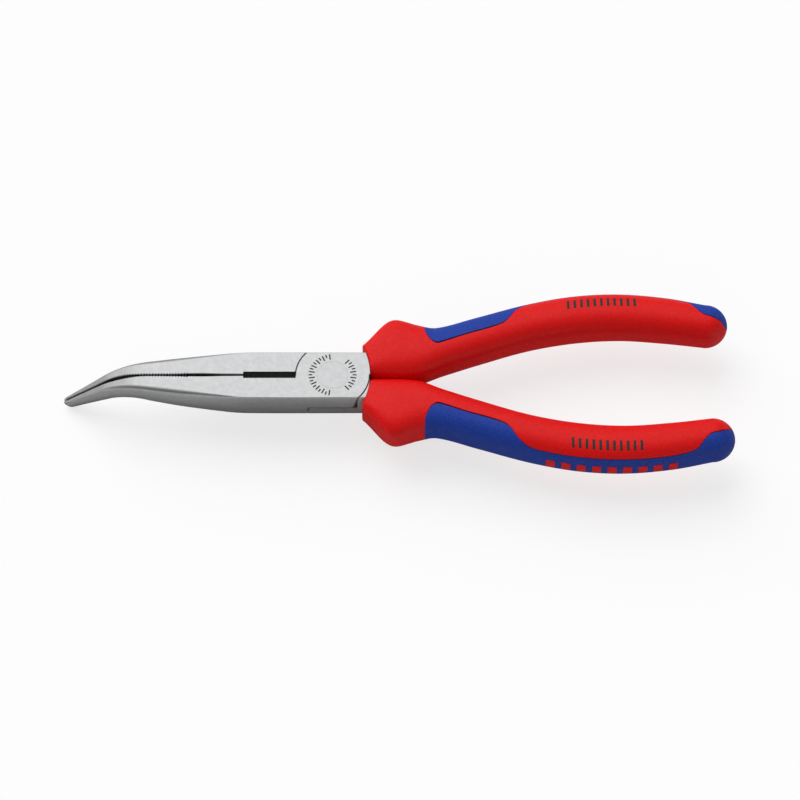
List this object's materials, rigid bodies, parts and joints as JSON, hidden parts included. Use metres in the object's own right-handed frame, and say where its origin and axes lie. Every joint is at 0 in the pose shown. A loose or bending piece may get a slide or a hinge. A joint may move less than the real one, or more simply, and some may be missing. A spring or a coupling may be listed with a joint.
{
  "type": "needle nose pliers",
  "caption": "Long nose pliers with a bent half-round serrated nose, side cutter, flush riveted lap joint and two-component grips.",
  "frame": {"origin": "centre of the rivet's end in the lower face of the joint", "axes": "+Z along the pivot axis towards the upper joint face, -X towards the nose, +X towards the handles, the nose bends towards -Z"},
  "size_m": [0.1999, 0.0594, 0.0195],
  "materials": {
    "ground_steel": "fine ground and lightly oiled forged tool steel",
    "rivet_steel": "ground flush with the joint faces",
    "red_plastic": "hard red grip plastic with a fine spark-eroded grain",
    "blue_soft_plastic": "soft blue grip plastic with a fine grain"
  },
  "bodies": {
    "lever_a_side": {"lever_a": "ground_steel", "joint_rivet": "rivet_steel", "grip_shell_a": "red_plastic", "grip_insert_a": "blue_soft_plastic"},
    "lever_b_side": {"lever_b": "ground_steel", "grip_shell_b": "red_plastic", "grip_insert_b": "blue_soft_plastic"}
  },
  "joints": [
    {"name": "jaw_pivot", "type": "hinge", "parent": "lever_a_side", "child": "lever_b_side", "pos_m": [0, 0, 0], "axis": [0, 0, -1], "range_deg": [0, 45]}
  ]
}
